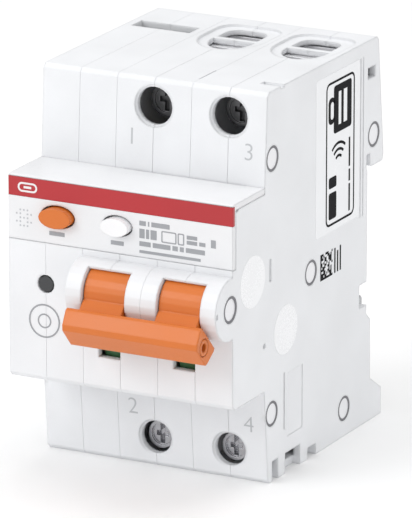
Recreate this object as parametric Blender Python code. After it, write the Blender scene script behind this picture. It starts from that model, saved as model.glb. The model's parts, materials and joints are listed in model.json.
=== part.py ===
"""Three-module modular circuit breaker for a 35 mm rail: arc-fault and residual-current
protection in the first module, a phase pole and a neutral pole in the other two.

Frame: X across the modules, -Y towards the front, +Z up. The origin is on the base, in the
middle of the bounding box. Every dimension below is in millimetres; metres() converts them
when a mesh is made. The handle is down, which is the off position.
"""

import math

import bpy
import bmesh
from mathutils import Vector

# ---- driving dimensions, mm ----
MODULE = 17.5
MODULE_X = {"m1": -MODULE, "m2": 0.0, "m3": MODULE}
HALF_WIDTH = 1.5 * MODULE
HEIGHT = 85.0
GAP = 0.3
SEAM = 0.03
TIGHT = 0.1

BACK = 41.4
RAIL_FACE = 33.6
RAIL_LOW, RAIL_HIGH = 24.5, 60.0
CLAW_LOW, CLAW_INNER = 57.0, 34.9
UNDERCUT = 33.2
NOSE_FRONT, NOSE_LOW, NOSE_HIGH = -29.0, 20.8, 65.0
SHOULDER_TOP_FRONT = -13.5
SHOULDER_LOW_FRONT = -12.9
SHOULDER_STEP_FRONT = -14.6
PERIMETER_WALL, OUTER_WALL, INNER_WALL = 1.6, 1.6, 1.2

COVER_LOW, COVER_THICK = 51.1, 1.3
STRIP_LOW, STRIP_HIGH, STRIP_DEPTH = 60.4, 64.6, 0.9

PIVOT_Y, PIVOT_Z = -30.1, 43.0
HUMP_R, DRUM_R, AXLE_R = 6.7, 5.8, 1.7
AXLE_HEAD_R, AXLE_RECESS_R = 2.5, 2.95
SLOT_HALF, SLOT_ANGLE = 5.1, 61.8
BAR_LEFT, BAR_RIGHT = -6.9, 24.4
BAR_TOP, BAR_BACK = (-39.2, 41.3), (-33.6, 35.5)
BAR_BOTTOM, BAR_FRONT = (-37.7, 32.9), (-BACK, 37.3)
BAR_END = (-38.3, 36.9)
LINK_EYE = (-22.6, 47.0)
LINK_END = (-6.0, 50.0)

RIVETS = {"upper_front": (-11.2, 70.5), "upper_back": (36.6, 63.8), "middle": (6.9, 41.0),
          "lower_front": (-11.2, 15.1), "lower_back": (23.0, 6.3)}
RIVET_R, RIVET_HEAD_R = 1.6, 2.35
RIVET_RECESS_R = 2.8

TOP_SCREW_Z, LOW_SCREW_Z = 79.0, 6.5
TOP_ACCESS_R, LOW_ACCESS_R = 4.1, 3.6
TOP_ACCESS_FACE, LOW_ACCESS_FACE = -13.8, -13.4
MOUTH_SPLIT = (22.6, 24.1)
CRATER_DEPTH = 0.5
ARC_BUTTON, RCD_BUTTON = (-14.6, 57.0, 4.1, 2.5), (-0.6, 57.0, 3.6, 2.3)
BUTTON_GAP, BUTTON_PROUD = 0.35, 1.6
LED_X, LED_Z, LED_R = -17.5, 42.1, 2.0
WINDOW_LOW, WINDOW_HIGH = 28.0, 32.5
FLAG_PIVOT, FLAG_R, FLAG_THICK = (-18.8, 30.2), 8.2, 1.0
FLAG_LOW_ANGLE, FLAG_HIGH_ANGLE = -22, 56
PEG_R, PEG_END = 0.9, 0.9
CONTACT_PIVOT = (-2.5, 46.0)
TRIP_BAR = (-9.5, 57.5)
SOLENOID_X, SOLENOID_Z = -13.4, 47.0
TOROID_Y, TOROID_Z = 18.0, 58.0
LEAD_SPREAD = 2.5
CLIP_HALF = 6.0
# On the right side face: y and z of each shallow groove, and its depth.
SIDE_GROOVES = (
    ("upper_slot", -12.4, -11.6, 44.2, 49.0, 0.5), ("dimple", -15.2, -14.2, 30.4, 31.3, 0.5),
    ("back_groove", 29.9, 30.3, 47.0, 82.0, 0.12), ("back_groove_two", 31.2, 31.6, 47.0, 82.0, 0.12),
    ("low_panel", -3.9, 3.1, 8.0, 22.0, 0.12), ("low_groove", -5.6, -5.2, 10.0, 22.5, 0.25),
    ("nose_nick", -28.0, -26.6, 63.2, 64.2, 0.4), ("hump_pit", -36.4, -35.7, 42.5, 43.5, 0.5),
)


# ---- making meshes ----
def metres(point):
    return Vector(point) * 0.001


def new_object(name, mesh_data, material=None):
    mesh = bpy.data.meshes.new(name)
    mesh_data.to_mesh(mesh)
    mesh_data.free()
    thing = bpy.data.objects.new(name, mesh)
    bpy.context.scene.collection.objects.link(thing)
    if material:
        mesh.materials.append(material)
    return thing


def helper(thing):
    """A cutter or an added shape: used by a modifier, never a part itself."""
    thing.hide_render = True
    thing.display_type = "WIRE"
    return thing


def extruded(name, outline, axis, low, high, material=None):
    """An outline extruded along X, Y or Z. Its points are the other two coordinates, in order."""
    data = bmesh.new()
    place = {"X": lambda a, b: (low, a, b), "Y": lambda a, b: (a, low, b), "Z": lambda a, b: (a, b, low)}
    along = {"X": (high - low, 0, 0), "Y": (0, high - low, 0), "Z": (0, 0, high - low)}
    corners = [data.verts.new(metres(place[axis](a, b))) for a, b in outline]
    face = data.faces.new(corners)
    made = bmesh.ops.extrude_face_region(data, geom=[face])["geom"]
    moved = [part for part in made if isinstance(part, bmesh.types.BMVert)]
    bmesh.ops.translate(data, verts=moved, vec=metres(along[axis]))
    bmesh.ops.recalc_face_normals(data, faces=data.faces)
    return new_object(name, data, material)


def box(name, low, high, material=None):
    outline = [(low[1], low[2]), (high[1], low[2]), (high[1], high[2]), (low[1], high[2])]
    return extruded(name, outline, "X", low[0], high[0], material)


def oval(centre, half_a, half_b=None, sides=16, start=0.0):
    half_b = half_a if half_b is None else half_b
    turns = [start + 2 * math.pi * i / sides for i in range(sides)]
    return [(centre[0] + half_a * math.cos(t), centre[1] + half_b * math.sin(t)) for t in turns]


def arc(centre, radius, first, last, steps):
    """Points of an arc; the angles are in degrees, from straight forward (-Y) towards +Z."""
    angles = [math.radians(first + (last - first) * i / steps) for i in range(steps + 1)]
    return [(centre[0] - radius * math.cos(a), centre[1] + radius * math.sin(a)) for a in angles]


def lathe(name, profile, axis, centre, sides=14, material=None):
    """A closed profile of (radius, distance along the axis) points, turned about X or Y."""
    data = bmesh.new()
    rings = []
    for i in range(sides):
        turn = 2 * math.pi * i / sides
        ring = []
        for radius, along in profile:
            a, b = radius * math.cos(turn), radius * math.sin(turn)
            spot = {"X": (along, centre[1] + a, centre[2] + b), "Y": (centre[0] + a, along, centre[2] + b)}
            ring.append(data.verts.new(metres(spot[axis])))
        rings.append(ring)
    for i, ring in enumerate(rings):
        following = rings[(i + 1) % sides]
        for j in range(len(profile)):
            k = (j + 1) % len(profile)
            data.faces.new((ring[j], ring[k], following[k], following[j]))
    bmesh.ops.recalc_face_normals(data, faces=data.faces)
    return new_object(name, data, material)


def helix(name, axis, centre, low, high, radius, wire_r, turns, material, steps=9, sides=5):
    """A coiled wire along Y or Z between low and high, as one closed tube."""
    data = bmesh.new()
    rings = []
    count = turns * steps
    run = high - low - 2 * wire_r
    for i in range(count + 1):
        turn = 2 * math.pi * i / steps
        along = low + wire_r + run * i / count
        outward = Vector((math.cos(turn), math.sin(turn)))
        ring = []
        for j in range(sides):
            around = 2 * math.pi * j / sides
            reach = radius + wire_r * math.cos(around)
            a, b, c = outward[0] * reach, outward[1] * reach, along + wire_r * math.sin(around)
            spot = (centre[0] + a, c, centre[2] + b) if axis == "Y" else (centre[0] + a, centre[1] + b, c)
            ring.append(data.verts.new(metres(spot)))
        rings.append(ring)
    for ring, following in zip(rings, rings[1:]):
        for j in range(sides):
            k = (j + 1) % sides
            data.faces.new((ring[j], ring[k], following[k], following[j]))
    data.faces.new(rings[0])
    data.faces.new(rings[-1])
    bmesh.ops.recalc_face_normals(data, faces=data.faces)
    return new_object(name, data, material)


def boolean(thing, other, operation):
    modifier = thing.modifiers.new(f"{operation.lower()}_{other.name}", "BOOLEAN")
    modifier.operation = operation
    modifier.solver = "EXACT"
    modifier.object = helper(other)


def cut(thing, *cutters):
    for cutter in cutters:
        boolean(thing, cutter, "DIFFERENCE")


def add(thing, *others):
    for other in others:
        boolean(thing, other, "UNION")


def set_origin(thing, point):
    """Moves the object's origin to a point, such as a joint's axis, without moving the shape."""
    spot = metres(point)
    for vertex in thing.data.vertices:
        vertex.co -= spot
    thing.location = spot


def make_material(name, colour, roughness, metallic=0.0):
    material = bpy.data.materials.new(name)
    material.use_nodes = True
    shader = material.node_tree.nodes["Principled BSDF"]
    shader.inputs["Base Color"].default_value = (*colour, 1.0)
    shader.inputs["Roughness"].default_value = roughness
    shader.inputs["Metallic"].default_value = metallic
    return material


def make_materials():
    return {
        "housing": make_material("housing", (0.86, 0.87, 0.88), 0.45),
        "cover": make_material("cover", (0.88, 0.88, 0.89), 0.40),
        "red": make_material("red", (0.52, 0.03, 0.04), 0.35),
        "orange": make_material("orange", (0.75, 0.19, 0.03), 0.40),
        "white": make_material("white", (0.90, 0.90, 0.91), 0.35),
        "dark": make_material("dark", (0.02, 0.02, 0.025), 0.25),
        "green": make_material("green", (0.05, 0.22, 0.08), 0.50),
        "steel": make_material("steel", (0.55, 0.55, 0.56), 0.35, 1.0),
        "rivet": make_material("rivet", (0.80, 0.80, 0.82), 0.35, 1.0),
        "tinned": make_material("tinned", (0.75, 0.75, 0.76), 0.35, 1.0),
        "copper": make_material("copper", (0.60, 0.28, 0.17), 0.35, 1.0),
        "brass": make_material("brass", (0.62, 0.50, 0.25), 0.35, 1.0),
        "board": make_material("board", (0.03, 0.15, 0.07), 0.45),
        "ferrite": make_material("ferrite", (0.08, 0.08, 0.09), 0.55),
        "clip": make_material("clip", (0.60, 0.61, 0.62), 0.45),
    }


# ---- the housing's half-shells ----
def side_outline(with_hump):
    """The housing seen from the side, as (y, z), starting at the bottom back and going round the top."""
    hump = []
    if with_hump:
        edge = math.degrees(math.acos((PIVOT_Y - NOSE_FRONT) / HUMP_R))
        hump = arc((PIVOT_Y, PIVOT_Z), HUMP_R, edge, -edge, 14)
    return [
        (41.1, 0.0), (41.1, 6.0), (35.6, 9.5), (35.4, 23.0), (RAIL_FACE, RAIL_LOW),
        (RAIL_FACE, CLAW_LOW - 0.5), (UNDERCUT, CLAW_LOW), (UNDERCUT, RAIL_HIGH),
        (CLAW_INNER, RAIL_HIGH), (CLAW_INNER, CLAW_LOW + 0.4),
        (CLAW_INNER + 0.6, CLAW_LOW), (40.9, CLAW_LOW), (BACK, CLAW_LOW + 1.5), (38.7, 84.2), (37.9, HEIGHT),
        (SHOULDER_TOP_FRONT + 0.9, HEIGHT), (SHOULDER_TOP_FRONT, HEIGHT - 0.9),
        (SHOULDER_STEP_FRONT, NOSE_HIGH), (SHOULDER_STEP_FRONT, NOSE_HIGH - COVER_THICK - TIGHT),
        (NOSE_FRONT + COVER_THICK + TIGHT, NOSE_HIGH - COVER_THICK - TIGHT),
        (NOSE_FRONT + COVER_THICK + TIGHT, COVER_LOW - TIGHT), (NOSE_FRONT, COVER_LOW - TIGHT),
        *hump,
        (NOSE_FRONT, NOSE_LOW + 0.9), (NOSE_FRONT + 0.9, NOSE_LOW), (SHOULDER_STEP_FRONT, NOSE_LOW),
        (SHOULDER_LOW_FRONT, 0.9), (SHOULDER_LOW_FRONT + 0.9, 0.0),
    ]


def cavity_outline():
    wall = PERIMETER_WALL
    behind_cover = NOSE_FRONT + COVER_THICK + GAP + wall
    return [
        (28.0, 1.8), (28.0, 26.0), (RAIL_FACE - wall, 27.5), (RAIL_FACE - wall, 61.5), (38.9, 61.5),
        (37.0, HEIGHT - wall), (SHOULDER_TOP_FRONT + wall, HEIGHT - wall),
        (SHOULDER_STEP_FRONT + wall, NOSE_HIGH), (SHOULDER_STEP_FRONT + wall, 61.9),
        (behind_cover, 61.9), (behind_cover, 50.4), (NOSE_FRONT + wall, 49.4),
        (NOSE_FRONT + wall, NOSE_LOW + wall), (SHOULDER_STEP_FRONT + wall, NOSE_LOW + wall),
        (SHOULDER_LOW_FRONT + wall, 1.8),
    ]


def half_shell(module, side, material):
    """A tray: one side wall and the rim up to the module's seam. side is -1 for left, +1 for right."""
    name = f"housing_{module}_{'left' if side < 0 else 'right'}"
    centre = MODULE_X[module]
    outer = centre + side * (MODULE / 2 - SEAM)
    outermost = abs(outer) > HALF_WIDTH - 1
    if outermost:
        outer = side * HALF_WIDTH
    wall = OUTER_WALL if outermost else INNER_WALL
    seam = centre + side * SEAM
    shell = extruded(name, side_outline(module != "m1"), "X", *sorted((seam, outer)), material)
    cavity = sorted((seam - side * 2, outer - side * wall))
    cut(shell, extruded(f"{name}_cavity", cavity_outline(), "X", *cavity))
    for rivet, (y, z) in RIVETS.items():
        hole = extruded(f"{name}_{rivet}", oval((y, z), RIVET_R + GAP, sides=10), "X", outer - 10, outer + 10)
        cut(shell, hole)
        if outermost:
            ends = sorted((outer - side * 0.8, outer + side))
            cut(shell, extruded(f"{name}_{rivet}_recess", oval((y, z), RIVET_RECESS_R, sides=20), "X", *ends))
    return shell


def cut_passages(shell, outer):
    """The holes that leads, the trip bar and pivots take through the walls between modules."""
    ends = (outer - 3, outer + 3)
    name = shell.name
    low = (ends[0], TOROID_Y - LEAD_SPREAD - 2.0, TOROID_Z - 2.0)
    high = (ends[1], TOROID_Y + LEAD_SPREAD + 2.0, TOROID_Z + 2.0)
    cut(shell, box(f"{name}_lead_window", low, high))
    cut(shell, extruded(f"{name}_trip_window", oval(TRIP_BAR, 1.7, sides=10), "X", *ends))


def curve_points(centre, half_a, half_b, first, last, steps):
    """Points on an ellipse between two angles in degrees, counted from +a towards +b."""
    angles = [math.radians(first + (last - first) * i / steps) for i in range(steps + 1)]
    return [(centre[0] + half_a * math.cos(t), centre[1] + half_b * math.sin(t)) for t in angles]


def front_mouth(centre):
    """The half-round mouth in the top face, for a busbar pin or a thin wire."""
    return curve_points((centre, MOUTH_SPLIT[0]), 5.0, 7.5, 180, 360, 12)


def rear_mouth(centre):
    """The square mouth behind it, its back corners rounded, for a thick wire."""
    corner, half, back = 3.0, 4.7, 31.1
    right = curve_points((centre + half - corner, back - corner), corner, corner, 0, 90, 4)
    left = curve_points((centre - half + corner, back - corner), corner, corner, 90, 180, 4)
    return [(centre - half, MOUTH_SPLIT[1]), (centre + half, MOUTH_SPLIT[1]), *right, *left]


def crater_outline(centre):
    """The shallow lowered area around both mouths."""
    half, corner, back = 7.4, 4.0, 33.4
    right = curve_points((centre + half - corner, back - corner), corner, corner, 0, 90, 4)
    left = curve_points((centre - half + corner, back - corner), corner, corner, 90, 180, 4)
    return [*curve_points((centre, MOUTH_SPLIT[0]), half, 9.4, 180, 360, 14), *right, *left]


def cut_access(shell, centre, level, radius, face, tag):
    """A round hole in the shoulder for a screwdriver, its rim stepped out."""
    for part, reach, depth in (("access", radius, face + 5), ("rim", radius + 0.45, face + 0.4)):
        outline = oval((centre, level), reach, sides=24)
        cut(shell, extruded(f"{shell.name}_{tag}_{part}", outline, "Y", -17, depth))


def add_pole_openings(shell, module, side):
    """What a phase or neutral half-shell has: toggle slot, terminals, pivots, flag window."""
    name, centre = shell.name, MODULE_X[module]
    outer = centre + side * MODULE / 2
    pivot = (PIVOT_Y, PIVOT_Z)
    slot = sorted((centre + side * SLOT_HALF, centre - side * 1.0))
    cut(shell, extruded(f"{name}_drum", oval(pivot, DRUM_R + GAP, sides=24), "X", *slot))
    past_hump = 12.0
    wedge = [pivot, *arc(pivot, past_hump, SLOT_ANGLE, -SLOT_ANGLE, 2)]
    cut(shell, extruded(f"{name}_slot", wedge, "X", *slot))
    ends = sorted((outer - 4, outer + 4))
    cut(shell, extruded(f"{name}_axle", oval(pivot, AXLE_R + GAP, sides=12), "X", *ends))
    blind = sorted((outer - side * 4, outer - side * (0.9 if name == "housing_m3_right" else 0)))
    cut(shell, extruded(f"{name}_contact_pin", oval(CONTACT_PIVOT, 1.3, sides=10), "X", *blind))
    cut_access(shell, centre, TOP_SCREW_Z, TOP_ACCESS_R, TOP_ACCESS_FACE, "top")
    cut_access(shell, centre, LOW_SCREW_Z, LOW_ACCESS_R, LOW_ACCESS_FACE, "low")
    for tag, outline in (("crater", crater_outline(centre)), ("front_mouth", front_mouth(centre)),
                         ("rear_mouth", rear_mouth(centre))):
        low = HEIGHT - CRATER_DEPTH if tag == "crater" else HEIGHT - 5
        cut(shell, extruded(f"{name}_{tag}", outline, "Z", low, HEIGHT + 5))
    cut(shell, box(f"{name}_wire_low", (centre - 4.7, 6.4, -3), (centre + 4.7, 13.2, 3)))
    if side < 0:
        low = (centre - SLOT_HALF, NOSE_FRONT - 2, WINDOW_LOW)
        high = (centre + 1, NOSE_FRONT + 3, WINDOW_HIGH)
        cut(shell, box(f"{name}_flag_window", low, high))
        root = outer + INNER_WALL / 2
        add(shell, extruded(f"{name}_flag_peg", oval(FLAG_PIVOT, PEG_R, sides=12), "X", root, centre - PEG_END))


def add_clip_channel(shell, module):
    """The vertical channel behind the rail clip, with a pocket for its spring over a ledge."""
    name, centre = shell.name, MODULE_X[module]
    reach = CLIP_HALF + GAP
    cut(shell, box(f"{name}_channel", (centre - reach, 32.6, -2), (centre + reach, 45, 24.2)))
    cut(shell, box(f"{name}_claw_room", (centre - reach, 33.0, 20), (centre + reach, 40, 24.6)))
    cut(shell, box(f"{name}_pocket", (centre - 2.6, 29.5, 11.0), (centre + 2.6, 33, 24.2)))


def add_button_rib(shell, module, side, button):
    """A rib that a test button's spring rests on, with a hole for the button's stem."""
    name, centre = shell.name, MODULE_X[module]
    near, far = centre + side * SEAM * 2, centre + side * (MODULE / 2 - 0.9)
    x0, x1 = sorted((near, far))
    add(shell, box(f"{name}_rib", (x0, -19.3, 53.6), (x1, -18.2, 60.4)))
    cut(shell, extruded(f"{name}_stem_hole", oval(button[:2], 1.6, sides=12), "Y", -21, -16))


def add_button_hole(shell, button):
    x, z, rx, rz = button
    hole = oval((x, z), rx, rz, sides=20)
    cut(shell, extruded(f"{shell.name}_button_hole", hole, "Y", -32, -24))


def make_housing(materials):
    shells = {}
    for module in MODULE_X:
        for side in (-1, 1):
            shells[module, side] = half_shell(module, side, materials["housing"])
    for module in ("m2", "m3"):
        for side in (-1, 1):
            add_pole_openings(shells[module, side], module, side)
    for module, side in (("m1", 1), ("m2", -1), ("m2", 1), ("m3", -1)):
        cut_passages(shells[module, side], MODULE_X[module] + side * MODULE / 2)
    for module in ("m1", "m3"):
        for side in (-1, 1):
            add_clip_channel(shells[module, side], module)
    add_button_rib(shells["m1", 1], "m1", 1, ARC_BUTTON)
    add_button_rib(shells["m2", -1], "m2", -1, RCD_BUTTON)
    add_button_rib(shells["m2", 1], "m2", 1, RCD_BUTTON)
    for module, side, button in (("m1", 1, ARC_BUTTON), ("m1", -1, ARC_BUTTON), ("m2", -1, RCD_BUTTON),
                                 ("m2", 1, RCD_BUTTON)):
        add_button_hole(shells[module, side], button)
    for side in (-1, 1):
        shell = shells["m1", side]
        light = oval((LED_X, LED_Z), LED_R, sides=14)
        cut(shell, extruded(f"{shell.name}_light_hole", light, "Y", -32, -24))
        slot = ((-24.4, 22.1, 80), (-10.4, 26.8, 90))
        cut(shell, box(f"{shell.name}_top_slot", *slot))
    right = shells["m3", 1]
    sunk = oval((PIVOT_Y, PIVOT_Z), AXLE_RECESS_R, sides=20)
    cut(right, extruded("axle_recess", sunk, "X", HALF_WIDTH - 0.9, HALF_WIDTH + 1))
    cut(right, box("side_slot", (22, 30.1, 26.6), (30, 34, 31.8)))
    cut(right, box("side_square", (22, 33.6, 76.5), (30, 37.2, 79.0)))
    for tag, y0, y1, z0, z1, depth in SIDE_GROOVES:
        cut(right, box(f"side_{tag}", (HALF_WIDTH - depth, y0, z0), (HALF_WIDTH + 2, y1, z1)))
    top = HEIGHT - CRATER_DEPTH
    cut(right, box("top_corner_nick", (21.5, -7.4, top), (HALF_WIDTH + 2, -5.6, HEIGHT + 2)))
    cut(shells["m2", 1], box("top_line", (MODULE / 2 - 0.25, -9.9, top), (MODULE / 2 + 1, -2.4, HEIGHT + 2)))
    for side, shell in ((-1, shells["m1", -1]), (1, right)):
        x0, x1 = sorted((side * (HALF_WIDTH - OUTER_WALL - 0.2), side * (HALF_WIDTH + 2)))
        for front, back, high in ((-10.9, -8.1, 4.5), (-4.9, 2.1, 4.5), (5.6, 9.6, 2.5)):
            cut(shell, box(f"{shell.name}_notch_{high}_{back}", (x0, front, -2), (x1, back, high)))


# ---- the front ----
def make_front(materials):
    half = HALF_WIDTH - SEAM
    front, top_back = NOSE_FRONT, SHOULDER_STEP_FRONT - 0.05
    outline = [(front, COVER_LOW), (front + COVER_THICK, COVER_LOW), (front + COVER_THICK, NOSE_HIGH - COVER_THICK),
               (top_back, NOSE_HIGH - COVER_THICK), (top_back, NOSE_HIGH), (front + 0.8, NOSE_HIGH),
               (front, NOSE_HIGH - 0.4)]
    cover = extruded("front_cover", outline, "X", -half, half, materials["cover"])
    for button, tag in ((ARC_BUTTON, "arc"), (RCD_BUTTON, "rcd")):
        x, z, rx, rz = button
        cut(cover, extruded(f"cover_{tag}", oval((x, z), rx, rz, sides=20), "Y", front - 2, front + 3))
    cut(cover, box("cover_line", (-6.5, top_back - 0.3, NOSE_HIGH - 1), (22.0, top_back + 1, NOSE_HIGH + 1)))
    groove = ((-HALF_WIDTH - 1, front - 1, STRIP_LOW), (HALF_WIDTH + 1, front + STRIP_DEPTH, STRIP_HIGH))
    cut(cover, box("cover_groove", *groove))
    box("red_strip", (-half, front, STRIP_LOW + SEAM), (half, front + STRIP_DEPTH - SEAM, STRIP_HIGH - SEAM),
        materials["red"])


def make_button(name, button, material, spring_material):
    """An oval cap with a retaining flange and a stem that its return spring sits on."""
    x, z, rx, rz = button
    front = NOSE_FRONT - BUTTON_PROUD
    cap_x, cap_z = rx - BUTTON_GAP, rz - BUTTON_GAP
    cap = extruded(name, oval((x, z), cap_x, cap_z, sides=20), "Y", front, -24.9, material)
    add(cap, extruded(f"{name}_flange", oval((x, z), rx, rz + 0.7, sides=20), "Y", -25.4, -24.5))
    add(cap, extruded(f"{name}_stem", oval((x, z), 1.1, sides=12), "Y", -25.0, -17.4))
    set_origin(cap, (x, -25.0, z))
    helix(f"{name}_spring", "Y", (x, 0, z), -24.2, -19.6, 1.75, 0.2, 4, spring_material)


def make_flag(name, left, right, material):
    """A curved two-coloured flag on a spoke, its hub turning on the peg of the half-shell."""
    angles = (FLAG_LOW_ANGLE, FLAG_HIGH_ANGLE)
    rim = [*arc(FLAG_PIVOT, FLAG_R, *angles, 12), *arc(FLAG_PIVOT, FLAG_R - FLAG_THICK, *reversed(angles), 12)]
    flag = extruded(name, rim, "X", left, right, material)
    spoke = [FLAG_PIVOT, *arc(FLAG_PIVOT, FLAG_R - FLAG_THICK / 2, -4, 38, 6)]
    add(flag, extruded(f"{name}_spoke", spoke, "X", left, left + 1.2))
    add(flag, extruded(f"{name}_hub", oval(FLAG_PIVOT, 2.0, sides=16), "X", left, right))
    cut(flag, extruded(f"{name}_bore", oval(FLAG_PIVOT, PEG_R + GAP, sides=12), "X", left - 1, right + 1))
    set_origin(flag, (left, *FLAG_PIVOT))


def make_indicators(materials):
    lens = oval((LED_X, LED_Z), LED_R - GAP, sides=14)
    extruded("status_window", lens, "Y", NOSE_FRONT + 0.1, -24.5, materials["dark"])
    extruded("status_led", oval((LED_X, LED_Z), 1.4, sides=12), "Y", -24.1, -20.2, materials["white"])
    for pole, module in (("phase", "m2"), ("neutral", "m3")):
        make_flag(f"position_flag_{pole}", MODULE_X[module] - 4.7, MODULE_X[module] - 0.5, materials["green"])


# ---- the handle ----
def along_bar(distance, depth=0.0):
    """A point on the tie bar's back face: a distance down from its top edge, and a depth into the bar."""
    top, back = Vector(BAR_TOP), Vector(BAR_BACK)
    down = (back - top).normalized()
    inward = Vector((down[1], -down[0]))
    spot = top + down * distance + inward * depth
    return (spot[0], spot[1])


def make_handle(materials):
    pivot = (PIVOT_Y, PIVOT_Z)
    bar_outline = [BAR_TOP, (-39.9, 41.0), (BAR_FRONT[0], BAR_FRONT[1] + 0.9), (BAR_FRONT[0], BAR_FRONT[1] - 0.3),
                   BAR_BOTTOM, (-36.9, 33.0), (-34.0, 34.9), BAR_BACK]
    bar = extruded("tie_bar", bar_outline, "X", BAR_LEFT, BAR_RIGHT, materials["orange"])
    pocket = [along_bar(1.0, -1.0), along_bar(1.0, 2.4), along_bar(7.0, 2.4), along_bar(7.0, -1.0)]
    for pole, module in (("phase", "m2"), ("neutral", "m3")):
        centre = MODULE_X[module]
        half = SLOT_HALF - GAP
        lever = extruded(f"toggle_lever_{pole}", oval(pivot, DRUM_R, sides=28), "X", centre - half, centre + half,
                         materials["orange"])
        neck = [(-34.4, 44.0), along_bar(1.3), along_bar(1.3, 2.1), along_bar(6.7, 2.1), along_bar(6.7),
                (-32.2, 38.6)]
        add(lever, extruded(f"neck_{pole}", neck, "X", centre - half, centre + half))
        arm = [(-29.0, 45.2), (-22.1, 49.0), (-20.9, 47.6), (-21.6, 45.4), (-28.6, 41.2)]
        add(lever, extruded(f"arm_{pole}", arm, "X", centre - 2.0, centre + 2.0))
        add(lever, extruded(f"stub_{pole}", oval(LINK_EYE, 0.8, sides=10), "X", centre + 1, centre + 3.8))
        cut(lever, extruded(f"lever_bore_{pole}", oval(pivot, AXLE_R + GAP, sides=12), "X", centre - 8, centre + 8))
        set_origin(lever, (centre, *pivot))
        cut(bar, extruded(f"bar_pocket_{pole}", pocket, "X", centre - SLOT_HALF, centre + SLOT_HALF))
    cut(bar, extruded("bar_end_hole", oval(BAR_END, 1.0, sides=12), "X", BAR_RIGHT - 2.5, BAR_RIGHT + 2))
    groove = ((1.75, BAR_RIGHT - 0.35), (2.0, BAR_RIGHT - 0.35), (2.0, BAR_RIGHT + 1), (1.75, BAR_RIGHT + 1))
    cut(bar, lathe("bar_end_groove", groove, "X", (0, *BAR_END), 20))
    set_origin(bar, (BAR_LEFT, *pivot))
    axle_end, head_low = HALF_WIDTH - 0.15, HALF_WIDTH - 0.7
    axle = extruded("toggle_axle", oval(pivot, AXLE_R, sides=14), "X", -8.3, head_low + 0.1, materials["rivet"])
    add(axle, extruded("toggle_axle_head", oval(pivot, AXLE_HEAD_R, sides=20), "X", head_low, axle_end))


def make_links(materials):
    """The flat steel link of each pole, from the lever's stub back to the contact arm."""
    for pole, module in (("phase", "m2"), ("neutral", "m3")):
        centre = MODULE_X[module]
        run = (Vector(LINK_END) - Vector(LINK_EYE)).normalized()
        across = Vector((-run[1], run[0]))
        eye = Vector(LINK_EYE)
        tail = eye + run * 16.9
        outline = [eye - run * 1.8 + across, eye + across * 1.9, tail + across * 1.2, tail - across * 1.2,
                   eye - across * 1.9, eye - run * 1.8 - across]
        link = extruded(f"link_{pole}", [tuple(point) for point in outline], "X", centre + 2.4, centre + 3.2,
                        materials["steel"])
        cut(link, extruded(f"link_eye_{pole}", oval(LINK_EYE, 1.1, sides=10), "X", centre, centre + 5))
        set_origin(link, (centre, *LINK_EYE))


# ---- the poles ----
def make_screw(name, x, z, head_front, head_back, tip, head_r, shaft_r, material):
    """A terminal screw: its head is stepped down to a slot crossed by a shorter one."""
    screw = extruded(name, oval((x, z), head_r, sides=24), "Y", head_front, head_back, material)
    add(screw, extruded(f"{name}_shaft", oval((x, z), shaft_r, sides=12), "Y", head_back - 1, tip))
    step, ahead, slot_half = 0.6, head_front - 1, 0.55
    cut(screw, extruded(f"{name}_step", oval((x, z), head_r - 0.7, sides=20), "Y", ahead, head_front + step))
    for tag, half_x, half_z in (("slot", slot_half, head_r - 0.9), ("cross", head_r - 1.7, slot_half)):
        low, high = (x - half_x, ahead, z - half_z), (x + half_x, head_front + step + 1.1, z + half_z)
        cut(screw, box(f"{name}_{tag}", low, high))
    set_origin(screw, (x, head_front, z))


def make_cage(name, x, low, high, hole_z, hole_r, walls, material):
    """A clamp cage: a ring open at top and bottom, with walls across it and a threaded front wall."""
    front, back = walls[0][0], walls[-1][1]
    cage = box(name, (x - 5.6, front, low), (x + 5.6, back, high), material)
    for i, (before, after) in enumerate(zip(walls, walls[1:])):
        chamber = ((x - 4.6, before[1], low - 1), (x + 4.6, after[0], high + 1))
        cut(cage, box(f"{name}_chamber_{i}", *chamber))
    cut(cage, extruded(f"{name}_thread", oval((x, hole_z), hole_r, sides=12), "Y", front - 1, walls[0][1] + 0.5))


def make_terminals(materials):
    for pole, module in (("phase", "m2"), ("neutral", "m3")):
        x = MODULE_X[module]
        make_screw(f"top_screw_{pole}", x, TOP_SCREW_Z, -8.5, -4.5, 13.4, 3.4, 2.3, materials["steel"])
        make_screw(f"bottom_screw_{pole}", x, LOW_SCREW_Z, -10.8, -7.8, 4.5, 3.1, 2.0, materials["steel"])
        top_walls = ((9.0, 11.0), (21.3, 22.5), (31.2, 33.0))
        make_cage(f"top_clamp_{pole}", x, 74.6, 83.0, TOP_SCREW_Z, 2.6, top_walls, materials["tinned"])
        low_walls = ((1.0, 2.8), (13.4, 15.2))
        make_cage(f"bottom_clamp_{pole}", x, 2.2, 10.8, LOW_SCREW_Z, 2.3, low_walls, materials["tinned"])
        fork = [(13.8, 66.5), (24.1, 66.5), (24.1, 83.0), (22.9, 83.0), (22.9, 67.8), (15.0, 67.8), (15.0, 83.0),
                (13.8, 83.0)]
        extruded(f"top_terminal_plate_{pole}", fork, "X", x - 4.2, x + 4.2, materials["tinned"])
        bar = [(4.9, 2.2), (6.1, 2.2), (6.1, 13.2), (-1.8, 13.2), (-1.8, 23.9), (-0.7, 23.9), (-0.7, 26.6),
               (-1.8, 26.6), (-1.8, 29.0), (-3.0, 29.0), (-3.0, 12.0), (4.9, 12.0)]
        extruded(f"fixed_contact_{pole}", bar, "X", x - 2.6, x + 2.6, materials["copper"])


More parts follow.
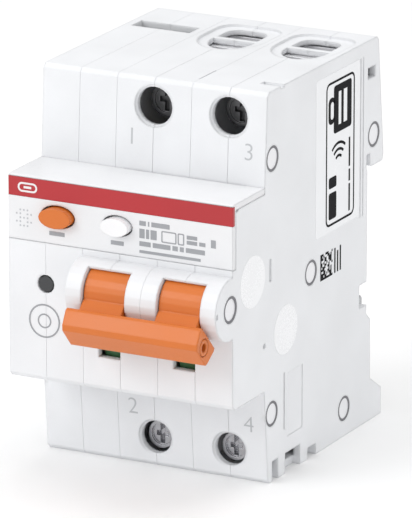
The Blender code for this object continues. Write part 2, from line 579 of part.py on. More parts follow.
def make_contact_arms(materials):
    """The moving contact of each pole, open, with its pad facing the fixed contact."""
    pivot = CONTACT_PIVOT
    for pole, module in (("phase", "m2"), ("neutral", "m3")):
        x = MODULE_X[module]
        arm = [(-4.1, 49.4), (-1.3, 49.6), (0.6, 44.0), (6.4, 26.6), (6.0, 23.2), (4.6, 23.0), (4.2, 24.3),
               (3.15, 24.3), (2.75, 26.9), (3.8, 26.9), (-4.2, 44.8)]
        mover = extruded(f"moving_contact_{pole}", arm, "X", x - 1.6, x + 1.6, materials["copper"])
        cut(mover, extruded(f"mover_bore_{pole}", oval(pivot, 1.3, sides=10), "X", x - 4, x + 4))
        set_origin(mover, (x, *pivot))
        extruded(f"contact_pin_{pole}", oval(pivot, 1.0, sides=10), "X", x - 8.3, x + 7.5, materials["steel"])


def make_arc_chutes(materials):
    """A stack of splitter plates joined along the back, open towards the contacts."""
    front, spine, back = 8.9, 26.2, 27.2
    plates, pitch, low, plate = 8, 2.4, 14.0, 1.2
    outline = [(back, low), (back, low + (plates - 1) * pitch + plate)]
    for i in reversed(range(plates)):
        bottom = low + i * pitch
        outline += [(front, bottom + plate), (front, bottom)]
        if i:
            outline += [(spine, bottom), (spine, bottom - pitch + plate)]
    for pole, module in (("phase", "m2"), ("neutral", "m3")):
        x = MODULE_X[module]
        extruded(f"arc_chute_{pole}", outline, "X", x - 5.9, x + 5.9, materials["steel"])


def make_overcurrent_trips(materials):
    """The phase pole's short-circuit coil with its plunger, and its thermal strip."""
    helix("short_circuit_coil", "Y", (0, 0, 48.5), 10.0, 24.0, 4.3, 0.75, 6, materials["copper"], 12, 6)
    plunger = extruded("short_circuit_plunger", oval((0, 48.5), 2.2, sides=14), "Y", 8.2, 26.0, materials["steel"])
    set_origin(plunger, (0, 8.2, 48.5))
    strip = [(-3.4, 52.4), (-2.6, 52.4), (-2.2, 64.0), (-2.2, 71.6), (4.0, 71.6), (4.0, 72.6), (-3.2, 72.6),
             (-3.2, 64.0)]
    extruded("bimetal_strip", strip, "X", -2.6, 2.6, materials["brass"])


# ---- the residual-current and arc-fault module ----
def make_electronics(materials):
    outline = [(-19.0, 26.0), (-9.0, 26.0), (-9.0, 19.0), (27.5, 19.0), (27.5, 76.0), (-9.0, 76.0), (-9.0, 61.0),
               (-19.0, 61.0)]
    board = extruded("circuit_board", outline, "X", -19.4, -17.8, materials["board"])
    cut(board, extruded("board_rivet", oval(RIVETS["middle"], 2.6, sides=10), "X", -21, -16))
    cut(board, extruded("board_corner_rivet", oval(RIVETS["upper_front"], 2.8, sides=10), "X", -21, -16))
    add(board, box("board_relay", (-18.5, -6.0, 24.0), (-11.0, 3.0, 36.0)))
    add(board, box("board_capacitor", (-18.5, 12.0, 24.0), (-11.5, 22.0, 40.0)))
    add(board, box("board_chip", (-18.5, -4.0, 62.0), (-16.4, 6.0, 72.0)))
    ring = ((9.5, -16.4), (9.5, -11.0), (5.0, -11.0), (5.0, -16.4))
    lathe("summation_transformer", ring, "X", (0, TOROID_Y, TOROID_Z), 24, materials["ferrite"])
    for pole, end, shift in (("phase", -2.0, -LEAD_SPREAD), ("neutral", 15.5, LEAD_SPREAD)):
        place = (TOROID_Y + shift, TOROID_Z)
        lead = oval(place, 1.3, sides=10)
        extruded(f"sensor_lead_{pole}", lead, "X", -17.2, end, materials["copper"])


def make_trip_unit(materials):
    """The trip solenoid, its plunger, and the bar that passes the trip to both poles."""
    tube = ((3.0, -25.0), (3.0, -13.8), (1.4, -13.8), (1.4, -25.0))
    lathe("trip_solenoid", tube, "Y", (SOLENOID_X, 0, SOLENOID_Z), 16, materials["copper"])
    rod = oval((SOLENOID_X, SOLENOID_Z), 1.0, sides=10)
    plunger = extruded("trip_plunger", rod, "Y", -22.0, -10.9, materials["steel"])
    set_origin(plunger, (SOLENOID_X, -22.0, SOLENOID_Z))
    bar = extruded("trip_bar", oval(TRIP_BAR, 1.2, sides=10), "X", -15.0, 21.0, materials["white"])
    y, z = TRIP_BAR
    for tag, x0, x1, low in (("sensor", -14.6, -12.2, 45.6), ("phase", -3.6, -2.0, 51.0), ("neutral", 13.9, 15.5, 51.0)):
        add(bar, box(f"trip_finger_{tag}", (x0, y - 0.9, low), (x1, y + 0.9, z)))
    set_origin(bar, (-15.0, *TRIP_BAR))


# ---- fixings ----
def make_rivets(materials):
    """Rivets through all three modules, their bevelled heads sunk into the outer walls."""
    head, end = HALF_WIDTH - 0.65, HALF_WIDTH - 0.1
    for place, (y, z) in RIVETS.items():
        centre = (y, z)
        name = f"rivet_{place}"
        rivet = extruded(name, oval(centre, RIVET_R, sides=12), "X", -head, head, materials["rivet"])
        for side, tag in ((-1, "left"), (1, "right")):
            flat = extruded(f"{name}_{tag}", oval(centre, RIVET_HEAD_R, sides=20), "X",
                            *sorted((side * (head - 0.1), side * end)))
            add(rivet, flat)


def make_rail_clips(materials):
    """Sliding clips that hold the rail's lower edge, each pushed up by a spring on a ledge."""
    outline = [(32.9, 1.0), (40.6, 1.0), (40.6, 3.4), (35.1, 3.4), (35.1, 24.1), (37.0, 24.3), (37.0, 26.8),
               (36.2, 27.6), (35.3, 26.6), (35.3, 24.9), (34.6, 23.9), (32.9, 23.9)]
    for side, module in (("left", "m1"), ("right", "m3")):
        x = MODULE_X[module]
        clip = extruded(f"rail_clip_{side}", outline, "X", x - CLIP_HALF, x + CLIP_HALF, materials["clip"])
        add(clip, box(f"clip_lug_{side}", (x - 2.2, 29.9, 21.8), (x + 2.2, 33.5, 23.7)))
        cut(clip, box(f"clip_tool_slot_{side}", (x - 3.0, 37.0, 0), (x + 3.0, 39.2, 5)))
        set_origin(clip, (x, 34.0, 24.0))
        helix(f"rail_clip_spring_{side}", "Z", (x, 31.1, 0), 11.3, 21.5, 1.2, 0.2, 6, materials["steel"], 8, 4)


def main():
    for thing in list(bpy.data.objects):
        bpy.data.objects.remove(thing, do_unlink=True)
    materials = make_materials()
    make_housing(materials)
    make_front(materials)
    make_button("arc_test_button", ARC_BUTTON, materials["orange"], materials["steel"])
    make_button("residual_test_button", RCD_BUTTON, materials["white"], materials["steel"])
    make_indicators(materials)
    make_handle(materials)
    make_links(materials)
    make_terminals(materials)
    make_contact_arms(materials)
    make_arc_chutes(materials)
    make_overcurrent_trips(materials)
    make_electronics(materials)
    make_trip_unit(materials)
    make_rivets(materials)
    make_rail_clips(materials)


main()
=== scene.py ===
"""Looks of the rail-mounted breaker: materials for every CAD node, printed marks, light, camera.

Sizes and places are in millimetres, and MM turns them into metres. Light and floor are in metres.
"""

import json
import math
import random

import bmesh
import bpy
from mathutils import Matrix, Vector


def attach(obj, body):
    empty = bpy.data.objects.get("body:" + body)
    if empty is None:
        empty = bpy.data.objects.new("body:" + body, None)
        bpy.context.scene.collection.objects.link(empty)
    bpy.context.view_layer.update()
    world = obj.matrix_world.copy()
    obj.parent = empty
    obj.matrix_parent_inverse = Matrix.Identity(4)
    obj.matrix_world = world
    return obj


MM = 0.001
NOSE_Y = -29.0    # front plane of the nose
SIDE_X = 26.25    # outer side planes, at plus and minus
MODULE = 17.5     # module pitch; each module is two half-shells

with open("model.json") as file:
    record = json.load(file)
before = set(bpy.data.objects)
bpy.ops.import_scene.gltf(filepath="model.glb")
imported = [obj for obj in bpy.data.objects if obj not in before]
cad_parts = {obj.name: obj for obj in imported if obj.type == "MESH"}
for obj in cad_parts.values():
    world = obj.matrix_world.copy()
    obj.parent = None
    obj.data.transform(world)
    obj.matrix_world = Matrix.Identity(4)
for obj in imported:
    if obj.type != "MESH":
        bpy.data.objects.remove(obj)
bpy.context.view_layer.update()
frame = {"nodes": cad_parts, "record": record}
nodes = frame["nodes"]


# ---- materials ----
NOISE_LOW, NOISE_HIGH = 0.3, 0.7                # most noise values lie between these
BLOTCH, PATCH = 14.0, 2.5                       # mm across, of colour and of wear
SPECK_DARKNESS = 0.8
WEAR_START, WEAR_FULL = 0.995, 0.80             # bevel normal against flat normal, as a cosine
PATCH_LOW, PATCH_HIGH, LEAST_WEAR = 0.35, 0.6, 0.35
BLOTCH_GLOSS, GRAIN_GLOSS, WEAR_GLOSS = 0.05, 0.04, 0.08
COAT_ROUGHNESS = 0.12
BEVEL_SAMPLES = 6
SPLIT_WIDTH = 0.05                              # mm over which a two-colour piece changes

PITCH_SHIFT = 20.5        # whole pitches keep the value positive, the half centres it on a joint
SEAM_SLOPE = 0.8          # edge radius per mm of distance from a joint
HAIRLINE = 0.01           # mm, least edge radius anywhere
MID_PLANE_REACH = 1.2     # mm each side of a mid-plane joint of a pole ...
MID_PLANE_RADIUS = 0.22   # ... where the edge radius is at least this
POLES_X = -5.0            # the poles begin here
OUTER_X = 25.3            # from here out there is no joint, only the outer corner


def link(tree, start, end):
    tree.links.new(start, end)


def math_node(tree, operation, a, b=0.0, clamp=False):
    node = tree.nodes.new("ShaderNodeMath")
    node.operation = operation
    node.use_clamp = clamp
    for socket, value in zip(node.inputs, (a, b)):
        if isinstance(value, (int, float)):
            socket.default_value = value
        else:
            link(tree, value, socket)
    return node.outputs[0]


def ranged(tree, value, low, high, to_low, to_high):
    node = tree.nodes.new("ShaderNodeMapRange")
    link(tree, value, node.inputs["Value"])
    limits = {"From Min": low, "From Max": high, "To Min": to_low, "To Max": to_high}
    for name, number in limits.items():
        node.inputs[name].default_value = number
    return node.outputs["Result"]


def mixed(tree, factor, first, second):
    node = tree.nodes.new("ShaderNodeMix")
    node.data_type = "RGBA"
    link(tree, factor, node.inputs["Factor"])
    for socket, colour in ((node.inputs[6], first), (node.inputs[7], second)):
        if isinstance(colour, tuple):
            socket.default_value = (*colour, 1.0)
        else:
            link(tree, colour, socket)
    return node.outputs[2]


def noise(tree, place, size, stretch=(1, 1, 1), detail=2.0, seed=0.0):
    """Noise with blotches about size mm across; stretch below 1 draws them out along that axis."""
    mapping = tree.nodes.new("ShaderNodeMapping")
    mapping.inputs["Scale"].default_value = [s / (size * MM) for s in stretch]
    mapping.inputs["Location"].default_value = (seed, seed * 0.7, seed * 1.3)
    link(tree, place, mapping.inputs["Vector"])
    node = tree.nodes.new("ShaderNodeTexNoise")
    node.inputs["Scale"].default_value = 1.0
    node.inputs["Detail"].default_value = detail
    link(tree, mapping.outputs[0], node.inputs["Vector"])
    return node.outputs["Fac"]


def scaled(colour, factor):
    return tuple(min(1.0, c * factor) for c in colour)


def coordinate(tree, place, axis):
    split = tree.nodes.new("ShaderNodeSeparateXYZ")
    link(tree, place, split.inputs[0])
    return split.outputs[axis]


def seam_distance(tree, across, pitch):
    """Distance across the modules to the nearest multiple of pitch, in metres."""
    pitches = math_node(tree, "DIVIDE", across, pitch * MM)
    turned = math_node(tree, "FRACT", math_node(tree, "ADD", pitches, PITCH_SHIFT))
    away = math_node(tree, "ABSOLUTE", math_node(tree, "SUBTRACT", turned, 0.5))
    return math_node(tree, "MULTIPLY", away, pitch * MM)


def tight_seams(tree, place, radius):
    """An edge radius that shrinks towards the joints between half-shells, so they stay hairline."""
    across = coordinate(tree, place, "X")
    mid_plane = math_node(tree, "LESS_THAN", seam_distance(tree, across, MODULE),
                          MID_PLANE_REACH * MM)
    pole = math_node(tree, "GREATER_THAN", across, POLES_X * MM)
    least = math_node(tree, "MULTIPLY", math_node(tree, "MULTIPLY", mid_plane, pole),
                      MID_PLANE_RADIUS * MM)
    near = math_node(tree, "MULTIPLY", seam_distance(tree, across, MODULE / 2), SEAM_SLOPE)
    outer = math_node(tree, "GREATER_THAN", math_node(tree, "ABSOLUTE", across), OUTER_X * MM)
    near = math_node(tree, "MAXIMUM", near, math_node(tree, "MULTIPLY", outer, radius * MM))
    near = math_node(tree, "MINIMUM", near, radius * MM)
    return math_node(tree, "MAXIMUM", near, math_node(tree, "ADD", least, HAIRLINE * MM))


def surface(name, colour, rough, metal=0.0, spread=0.03, grain=0.3, depth=0.006,
            stretch=(1, 1, 1), edge=0.35, edge_light=1.05, coat=0.0, seed=0.0, above=None,
            seams=False):
    """A moulded, coated or metal surface: mottled colour, uneven gloss, fine grain, worn edges.

    grain and depth are the size and height of the fine bumps, edge is the radius that edges are
    rounded to. above is an optional (height, colour): the colour of everything over that height.
    seams keeps the rounding off the joints between half-shells.
    """
    material = bpy.data.materials.new(name)
    material.use_nodes = True
    tree = material.node_tree
    shader = tree.nodes["Principled BSDF"]
    shader.inputs["Metallic"].default_value = metal
    shader.inputs["Coat Weight"].default_value = coat
    shader.inputs["Coat Roughness"].default_value = COAT_ROUGHNESS
    place = tree.nodes.new("ShaderNodeTexCoord").outputs["Object"]

    bevel = tree.nodes.new("ShaderNodeBevel")
    bevel.samples = BEVEL_SAMPLES
    bevel.inputs["Radius"].default_value = edge * MM
    if seams:
        link(tree, tight_seams(tree, place, edge), bevel.inputs["Radius"])
    flat = tree.nodes.new("ShaderNodeNewGeometry").outputs["Normal"]
    dot = tree.nodes.new("ShaderNodeVectorMath")
    dot.operation = "DOT_PRODUCT"
    link(tree, bevel.outputs[0], dot.inputs[0])
    link(tree, flat, dot.inputs[1])
    worn = ranged(tree, dot.outputs["Value"], WEAR_START, WEAR_FULL, 0.0, 1.0)
    patchy = noise(tree, place, PATCH, seed=seed + 3)
    patchy = ranged(tree, patchy, PATCH_LOW, PATCH_HIGH, LEAST_WEAR, 1.0)
    worn = math_node(tree, "MULTIPLY", worn, patchy, clamp=True)

    broad = noise(tree, place, BLOTCH, seed=seed)
    fine = noise(tree, place, grain, stretch, 3.0, seed + 7)
    base = mixed(tree, ranged(tree, broad, NOISE_LOW, NOISE_HIGH, 0.0, 1.0),
                 scaled(colour, 1 - spread), scaled(colour, 1 + spread))
    if above:
        height, upper = above
        over = ranged(tree, coordinate(tree, place, "Z"), height * MM,
                      (height + SPLIT_WIDTH) * MM, 0.0, 1.0)
        base = mixed(tree, over, base, upper)
    speck = ranged(tree, fine, NOISE_LOW, NOISE_HIGH, 0.0, spread * 2)
    base = mixed(tree, speck, base, scaled(colour, SPECK_DARKNESS))
    base = mixed(tree, worn, base, scaled(colour, edge_light))
    link(tree, base, shader.inputs["Base Color"])

    gloss = math_node(tree, "ADD",
                      ranged(tree, broad, NOISE_LOW, NOISE_HIGH,
                             rough - BLOTCH_GLOSS, rough + BLOTCH_GLOSS),
                      ranged(tree, fine, NOISE_LOW, NOISE_HIGH, -GRAIN_GLOSS, GRAIN_GLOSS))
    polish = math_node(tree, "MULTIPLY", worn, WEAR_GLOSS)
    gloss = math_node(tree, "SUBTRACT", gloss, polish, clamp=True)
    link(tree, gloss, shader.inputs["Roughness"])

    bump = tree.nodes.new("ShaderNodeBump")
    bump.inputs["Strength"].default_value = 1.0
    bump.inputs["Distance"].default_value = depth * MM
    link(tree, fine, bump.inputs["Height"])
    link(tree, bevel.outputs[0], bump.inputs["Normal"])
    link(tree, bump.outputs[0], shader.inputs["Normal"])
    return material


def metal_surface(name, colour, rough, metal=1.0, spread=0.08, grain=0.3, depth=0.004, edge=0.2,
                  **rest):
    """Bare or plated metal, with what it shares filled in."""
    return surface(name, colour, rough, metal=metal, spread=spread, grain=grain, depth=depth,
                   edge=edge, **rest)


SHELL_WHITE = (0.80, 0.81, 0.83)
COVER_WHITE = (0.79, 0.795, 0.81)
STRIP_RED = (0.45, 0.022, 0.028)
ORANGE = (0.66, 0.162, 0.019)
FLAG_GREEN, FLAG_RED = (0.07, 0.20, 0.09), (0.50, 0.03, 0.03)
FLAG_SPLIT_Z = 32.8       # the flags are green below this height and red above it
DRAWN_X, DRAWN_Y, DRAWN_Z = (0.15, 1, 1), (1, 0.2, 1), (1, 1, 0.2)    # drawing lines of metals

looks = {
    "housing": surface("shell_plastic", SHELL_WHITE, 0.42, grain=0.35, depth=0.004, edge=0.7,
                       seams=True),
    "cover": surface("cover_plastic", COVER_WHITE, 0.36, depth=0.002, edge=0.5, seed=2),
    "red": surface("red_plastic", STRIP_RED, 0.45, depth=0.002, edge=0.15, seed=4),
    "orange": surface("orange_plastic", ORANGE, 0.38, grain=0.4, depth=0.006, edge=0.5,
                      edge_light=1.12, seed=5),
    "white": surface("white_plastic", (0.88, 0.885, 0.90), 0.25, depth=0.001, edge=0.3, coat=0.2,
                     seed=6),
    "dark": surface("dark_lens", (0.012, 0.013, 0.016), 0.12, spread=0.2, depth=0.001, edge=0.2,
                    coat=0.6, seed=8),
    "green": surface("flag_print", FLAG_GREEN, 0.5, spread=0.06, depth=0.003, edge=0.1, seed=9,
                     above=(FLAG_SPLIT_Z, FLAG_RED)),
    "steel": metal_surface("zinc_steel", (0.58, 0.58, 0.60), 0.30, grain=0.25, stretch=DRAWN_X,
                           edge_light=1.15, seed=11),
    "brass": metal_surface("cage_brass", (0.66, 0.52, 0.25), 0.32, stretch=DRAWN_Y,
                           edge_light=1.15, seed=13),
    "copper": metal_surface("bare_copper", (0.70, 0.33, 0.20), 0.30, spread=0.10, stretch=DRAWN_Z,
                            edge_light=1.1, seed=15),
    "board": surface("solder_mask", (0.02, 0.13, 0.05), 0.35, spread=0.1, depth=0.004, edge=0.1,
                     coat=0.3, seed=17),
    "ferrite": surface("wound_core", (0.06, 0.06, 0.065), 0.5, spread=0.15, grain=0.6, depth=0.03,
                       seed=19),
    "clip": surface("clip_plastic", (0.48, 0.49, 0.50), 0.45, depth=0.005, edge=0.4, seed=21),
    "rivet": metal_surface("rivet_plating", (0.86, 0.86, 0.88), 0.42, metal=0.75, spread=0.03,
                           edge=0.15, seed=33),
    "tinned": metal_surface("tin_plating", (0.88, 0.88, 0.90), 0.55, metal=0.6, spread=0.05,
                            stretch=DRAWN_Y, seed=35),
}
# the screws differ by the end they sit at, the first word of their names; the top ones are painted
# dark, as painted shade deep in their holes
screw_looks = {
    "top": metal_surface("phosphated_steel", (0.16, 0.16, 0.165), 0.38, spread=0.1, grain=0.25,
                         edge_light=1.3, seed=37),
    "bottom": metal_surface("turned_steel", (0.42, 0.42, 0.44), 0.24, spread=0.1, grain=0.25,
                            depth=0.003, edge_light=1.3, seed=41),
}
for part in frame["record"]["subparts"]:
    name = part["node"]
    if "screw" in name:
        look = screw_looks[name.split("_")[0]]
    else:
        look = looks[part["material_slot"]]
    materials = nodes[name].data.materials
    materials.clear()
    materials.append(look)

ink = surface("grey_ink", (0.34, 0.35, 0.37), 0.6, spread=0.08, depth=0.002, edge=0.02, seed=23)
pale_ink = surface("pale_mark", (0.52, 0.53, 0.55), 0.5, spread=0.04, depth=0.002, edge=0.02,
                   seed=24)
black_ink = surface("black_ink", (0.010, 0.010, 0.012), 0.75, spread=0.2, depth=0.001, edge=0.02,
                    seed=25)
black_ink.node_tree.nodes["Principled BSDF"].inputs["Specular IOR Level"].default_value = 0.15
strip_ink = surface("strip_ink", (0.80, 0.78, 0.78), 0.4, depth=0.001, edge=0.02, seed=31)
vinyl = surface("label_vinyl", (0.86, 0.87, 0.89), 0.22, spread=0.01, depth=0.001, edge=0.05,
                coat=0.3, seed=27)
disc_plastic = surface("disc_plastic", (0.90, 0.905, 0.92), 0.28, spread=0.01, depth=0.001,
                       edge=0.1, seed=29)
# painted shade: a dark ring laid in the gap round each rivet and the toggle axle, where shadow
# falls
gap_shade = metal_surface("painted_gap_shade", (0.20, 0.20, 0.215), 0.4, metal=0.8, spread=0.1,
                      edge=0.05, edge_light=1.2, seed=39)


# ---- flat shapes, as lists of (a, b) points in a plane ----
def bar(a0, b0, a1, b1):
    return [(a0, b0), (a1, b0), (a1, b1), (a0, b1)]


def arc(a, b, radius, start, sweep, steps):
    turns = [math.radians(start + sweep * i / steps) for i in range(steps + 1)]
    return [(a + radius * math.cos(t), b + radius * math.sin(t)) for t in turns]


def rounded(a0, b0, a1, b1, radius, steps=5):
    left, right = a0 + radius, a1 - radius
    foot, head = b0 + radius, b1 - radius
    points = []
    for a, b, start in ((right, head, 0), (left, head, 90), (left, foot, 180), (right, foot, 270)):
        points += arc(a, b, radius, start, 90, steps)
    return points


def rounded_band(a0, b0, a1, b1, radius, width, inner_radius):
    """A rounded outline and another one width further in."""
    inner = rounded(a0 + width, b0 + width, a1 - width, b1 - width, inner_radius)
    return rounded(a0, b0, a1, b1, radius), inner


def ring(a, b, radius, sides=32):
    turns = [2 * math.pi * i / sides for i in range(sides)]
    return [(a + radius * math.cos(t), b + radius * math.sin(t)) for t in turns]


def ring_band(a, b, outer, inner):
    return ring(a, b, outer), ring(a, b, inner)


def words(a, b, height, widths, gap=0.5):
    """Plain bars in a row, where a line of print would be."""
    shapes = []
    for width in widths:
        shapes.append(bar(a, b, a + width, b + height))
        a += width + gap
    return shapes


# ---- thin printed and moulded pieces ----
def to_front(a, b, out):
    return Vector((a, NOSE_Y - out, b))


def to_side(a, b, out):
    return Vector((SIDE_X + out, a, b))


def to_left(a, b, out):
    return Vector((-SIDE_X - out, a, b))


def prints(name, place, material, outlines=(), bands=(), low=-0.04, high=0.05,
           body="housing"):
    """One object of thin flat shapes: filled outlines, and bands between an outer and inner loop.

    place sets points on a face of the part; low and high are the heights over that face."""
    data = bmesh.new()

    def loop(points, out):
        return [data.verts.new(place(a, b, out) * MM) for a, b in points]

    def wall(first, second):
        for i in range(len(first)):
            j = (i + 1) % len(first)
            data.faces.new((first[i], first[j], second[j], second[i]))

    for outline in outlines:
        bottom, top = loop(outline, low), loop(outline, high)
        data.faces.new(bottom)
        data.faces.new(top)
        wall(bottom, top)
    for outer, inner in bands:
        rims = [loop(outer, low), loop(outer, high), loop(inner, high), loop(inner, low)]
        for i in range(4):
            wall(rims[i], rims[(i + 1) % 4])
    bmesh.ops.recalc_face_normals(data, faces=data.faces)
    mesh = bpy.data.meshes.new(name)
    data.to_mesh(mesh)
    data.free()
    mesh.materials.append(material)
    thing = bpy.data.objects.new(name, mesh)
    bpy.context.scene.collection.objects.link(thing)
    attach(thing, body)


# rows of bars on the front: left end, foot, height, widths, and the gap where it isn't the usual
FRONT_ROWS = (
    (4.6, 57.9, 1.0, (1.5, 0.3, 4.2)),
    (4.6, 55.2, 2.0, (1.2, 0.7, 1.4), 0.35),
    (15.6, 55.3, 0.8, (2.4, 1.4)),
    (15.6, 56.4, 0.8, (2.4,)),
    (21.2, 55.3, 1.7, (1.1,)),
    (4.6, 53.5, 1.0, (2.6, 4.1, 1.2, 0.9, 4.4)),
    (4.6, 52.0, 0.6, (14.2,)),
    (-16.6, 52.9, 0.9, (3.6,)),
    (-2.1, 52.9, 0.9, (3.0,)),
)
SYMBOL_FOOT, SYMBOL_HEAD = 54.9, 57.4
SYMBOL_SPANS = ((9.7, 13.2), (13.5, 15.0))
DOT_ROWS, DOT_PITCH, DOT_RADIUS, DOT_SIDES = 5, 0.85, 0.22, 6
DOTS_LEFT, DOTS_FOOT = -24.3, 54.1
MARK_CENTRE = (-17.9, 34.0)
MARK_RINGS = ((3.7, 3.35), (1.6, 1.3))


def front_print():
    lines = []
    for row in FRONT_ROWS:
        lines += words(*row)
    symbols = [rounded_band(left, SYMBOL_FOOT, right, SYMBOL_HEAD, 0.3, 0.25, 0.2)
               for left, right in SYMBOL_SPANS]
    prints("rating_bars", to_front, ink, lines, symbols)
    dots = []
    for i in range(DOT_ROWS):
        for j in range(DOT_ROWS):
            if (i * 3 + j * 2) % 4:
                dots.append(ring(DOTS_LEFT + DOT_PITCH * i, DOTS_FOOT + DOT_PITCH * j, DOT_RADIUS,
                                 DOT_SIDES))
    prints("dot_pattern", to_front, pale_ink, dots)
    rings = [ring_band(*MARK_CENTRE, *radii) for radii in MARK_RINGS]
    prints("round_mark", to_front, ink, (), rings)


def strip_mark():
    pill = rounded_band(-24.0, 61.4, -19.4, 63.5, 1.0, 0.4, 0.64)
    prints("strip_mark", to_front, strip_ink, [bar(-22.6, 62.2, -20.8, 62.7)], [pill])


WAVE_CENTRE = (19.6, 61.4)
WAVE_RADII = (2.0, 3.4, 4.8)
WAVE_OUT, WAVE_IN = 0.35, 0.25                # how far a wave reaches past its radius, each way
WAVE_START, WAVE_SWEEP, WAVE_STEPS = 50, 80, 10
SMALL_LEFT, SMALL_RIGHT = 24.4, 25.1
SMALL_WORDS = ((50.0, 6.0), (56.6, 2.6), (59.8, 6.4))      # foot and length
CELLS, CELL, FILLED = 12, 0.48, 0.48          # cells a side, their size, share that is printed
CODE_LEFT, CODE_FOOT = 11.3, 37.8


def side_label():
    """The upright label on the right side: its frame, an abstract icon, waves and bars."""
    prints("side_label", to_side, vinyl, [rounded(8.9, 47.5, 29.6, 82.0, 0.8)])
    label_frame = rounded_band(13.6, 48.8, 27.1, 80.2, 1.6, 0.5, 1.1)
    block = rounded(17.2, 68.6, 25.6, 79.0, 0.7)
    handle = (rounded(14.7, 71.0, 17.6, 76.8, 1.2), rounded(15.7, 72.0, 17.2, 75.8, 0.7))
    text = [rounded(15.0, 50.2, 18.6, 56.0, 0.5), rounded(15.0, 57.0, 18.6, 59.4, 0.5)]
    small = [bar(SMALL_LEFT, foot, SMALL_RIGHT, foot + length) for foot, length in SMALL_WORDS]
    waves = []
    for radius in WAVE_RADII:
        outer = arc(*WAVE_CENTRE, radius + WAVE_OUT, WAVE_START, WAVE_SWEEP, WAVE_STEPS)
        inner = arc(*WAVE_CENTRE, radius - WAVE_IN, WAVE_START, WAVE_SWEEP, WAVE_STEPS)
        waves.append(outer + inner[::-1])
    prints("label_print", to_side, black_ink, [block] + text + small + waves,
           [label_frame, handle], 0.03, 0.08)
    slots = [bar(19.4, 70.2, 20.6, 77.4), bar(21.8, 70.2, 23.4, 77.4)]
    prints("label_block_mark", to_side, vinyl, slots, (), 0.07, 0.11)


def side_code():
    """A square of random cells that encodes nothing, with three bars beside it."""
    chooser = random.Random(7)
    cells = []
    for i in range(CELLS):
        for j in range(CELLS):
            if i == 0 or j == 0 or chooser.random() < FILLED:
                a, b = CODE_LEFT + CELL * i, CODE_FOOT + CELL * j
                cells.append(bar(a, b, a + CELL, b + CELL))
    lines = [bar(17.9, 37.9, 18.5, 43.4), bar(19.2, 37.9, 19.8, 42.6), bar(20.5, 37.9, 21.1, 43.4)]
    prints("cell_code", to_side, black_ink, cells + lines, (), -0.03, 0.03)


DISCS = (("side_disc_upper", -20.1, 46.3, 5.6), ("side_disc_lower", -4.9, 31.8, 5.4))
DISC_SIDES = 48
RIVET_SPOTS = ((-11.2, 70.5), (36.6, 63.8), (6.9, 41.0), (-11.2, 15.1), (23.0, 6.3))
# outer and inner radii of the painted-shade rings in the gaps round the rivets and the axle, and
# how deep they lie
RIVET_GAP_RADII = (2.76, 2.22)
AXLE_SPOT, AXLE_GAP_RADII = (-30.1, 43.0), (2.92, 2.35)
GAP_SHADE_LOW, GAP_SHADE_HIGH = -0.5, -0.02


def side_discs():
    for name, y, z, radius in DISCS:
        prints(name, to_side, disc_plastic, [ring(y, z, radius, DISC_SIDES)], (),
               -0.05, 0.06)


def side_rings():
    """Dark rings of painted shade in the gaps round the rivets, on both sides, and round the toggle
    axle on the right.
    """
    bands = [ring_band(*spot, *RIVET_GAP_RADII) for spot in RIVET_SPOTS]
    prints("rivet_gap_shade_right", to_side, gap_shade, (), bands, GAP_SHADE_LOW, GAP_SHADE_HIGH)
    prints("rivet_gap_shade_left", to_left, gap_shade, (), bands, GAP_SHADE_LOW, GAP_SHADE_HIGH)
    axle = [ring_band(*AXLE_SPOT, *AXLE_GAP_RADII)]
    prints("axle_gap_shade", to_side, gap_shade, (), axle, GAP_SHADE_LOW, GAP_SHADE_HIGH)


# sloping faces over and under the nose, from foot to head, as (y, z)
UPPER_SHOULDER = ((-14.6, 65.0), (-13.5, 84.1))
LOWER_SHOULDER = ((-12.9, 0.9), (-14.6, 20.8))
NUMERALS = (
    ("number_one", "1", -5.0, 71.9, UPPER_SHOULDER),
    ("number_three", "3", 22.3, 71.9, UPPER_SHOULDER),
    ("number_two", "2", -5.1, 12.8, LOWER_SHOULDER),
    ("number_four", "4", 22.3, 12.8, LOWER_SHOULDER),
)
NUMERAL_HEIGHT, NUMERAL_THICKNESS, NUMERAL_THINNING = 5.2, 0.03, -0.06


def numeral(name, text, x, z, foot, head):
    """A terminal number on a shoulder, lying on the sloping face that runs from foot to head."""
    slope = Vector((head[0] - foot[0], head[1] - foot[1]))
    y = foot[0] + slope[0] * (z - foot[1]) / slope[1]
    curve = bpy.data.curves.new(name, "FONT")
    curve.body = text
    curve.size = NUMERAL_HEIGHT * MM
    curve.extrude = NUMERAL_THICKNESS * MM
    curve.offset = NUMERAL_THINNING * MM
    curve.align_x, curve.align_y = "CENTER", "CENTER"
    curve.materials.append(pale_ink)
    thing = bpy.data.objects.new(name, curve)
    bpy.context.scene.collection.objects.link(thing)
    tilt = math.atan2(slope[0], slope[1])
    turn = Matrix.Rotation(math.pi / 2 - tilt, 4, "X")
    thing.matrix_world = Matrix.Translation(Vector((x, y, z)) * MM) @ turn
    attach(thing, "housing")


front_print()
strip_mark()
side_label()
side_code()
side_discs()
side_rings()
for name, text, x, z, shoulder in NUMERALS:
    numeral(name, text, x, z, *shoulder)


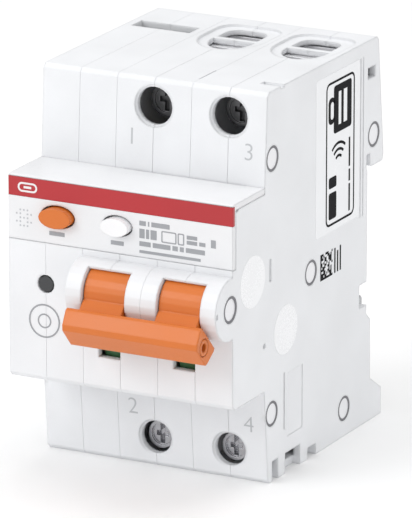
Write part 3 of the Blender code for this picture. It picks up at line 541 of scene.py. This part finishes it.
# ---- floor, light, camera ----
FLOOR_HALF = 2.5
FLOOR_WHITE = (0.96, 0.96, 0.96)
WORLD_STRENGTH = 0.66
LAMP_TARGET = (0, 0, 0.04)
LAMPS = (                      # name, place, size, power
    ("key", (-0.75, -0.95, 0.85), 0.9, 8.2),
    ("top", (0.1, 0.2, 1.3), 1.0, 5.6),
    ("fill", (1.2, -0.4, 0.5), 0.9, 2.0),
)
CAMERA_AZIMUTH, CAMERA_ELEVATION = 27.43, 16.86    # degrees, from straight in front
CAMERA_DISTANCE = 1.336                            # metres
CAMERA_TARGET = (0, 5.6, 42.5)
CAMERA_RIGHT, CAMERA_DOWN = 1.85, 1.74             # mm that the camera stands off the target
LENS, SENSOR = 438.8, 36
CLIP_END = 20


def make_floor():
    mesh = bpy.data.meshes.new("floor")
    mesh.from_pydata([(a, b, 0) for a, b in bar(-FLOOR_HALF, -FLOOR_HALF, FLOOR_HALF, FLOOR_HALF)],
                     [], [(0, 1, 2, 3)])
    thing = bpy.data.objects.new("floor", mesh)
    bpy.context.scene.collection.objects.link(thing)
    mesh.materials.append(surface("floor_paper", FLOOR_WHITE, 0.8, spread=0.004, grain=1.5,
                                  depth=0.002))


def area_light(name, spot, size, power):
    data = bpy.data.lights.new(name, "AREA")
    data.size = size
    data.energy = power
    thing = bpy.data.objects.new(name, data)
    bpy.context.scene.collection.objects.link(thing)
    thing.location = spot
    aim = Vector(LAMP_TARGET) - Vector(spot)
    thing.rotation_euler = aim.to_track_quat("-Z", "Y").to_euler()


def make_light():
    world = bpy.data.worlds.new("studio")
    world.use_nodes = True
    background = world.node_tree.nodes["Background"]
    background.inputs["Color"].default_value = (1.0, 1.0, 1.0, 1.0)
    background.inputs["Strength"].default_value = WORLD_STRENGTH
    bpy.context.scene.world = world
    for lamp in LAMPS:
        area_light(*lamp)
    bpy.context.scene.view_settings.view_transform = "Standard"


def make_camera():
    azimuth, elevation = math.radians(CAMERA_AZIMUTH), math.radians(CAMERA_ELEVATION)
    back = Vector((math.sin(azimuth) * math.cos(elevation),
                   -math.cos(azimuth) * math.cos(elevation), math.sin(elevation)))
    right = Vector((math.cos(azimuth), math.sin(azimuth), 0))
    up = back.cross(right)
    target = Vector(CAMERA_TARGET) * MM
    spot = target + back * CAMERA_DISTANCE + right * CAMERA_RIGHT * MM - up * CAMERA_DOWN * MM
    data = bpy.data.cameras.new("camera")
    data.lens = LENS
    data.sensor_width = SENSOR
    data.clip_end = CLIP_END
    thing = bpy.data.objects.new("camera", data)
    bpy.context.scene.collection.objects.link(thing)
    thing.matrix_world = Matrix.Translation(spot) @ Matrix((right, up, back)).transposed().to_4x4()
    bpy.context.scene.camera = thing


make_floor()
make_light()
make_camera()
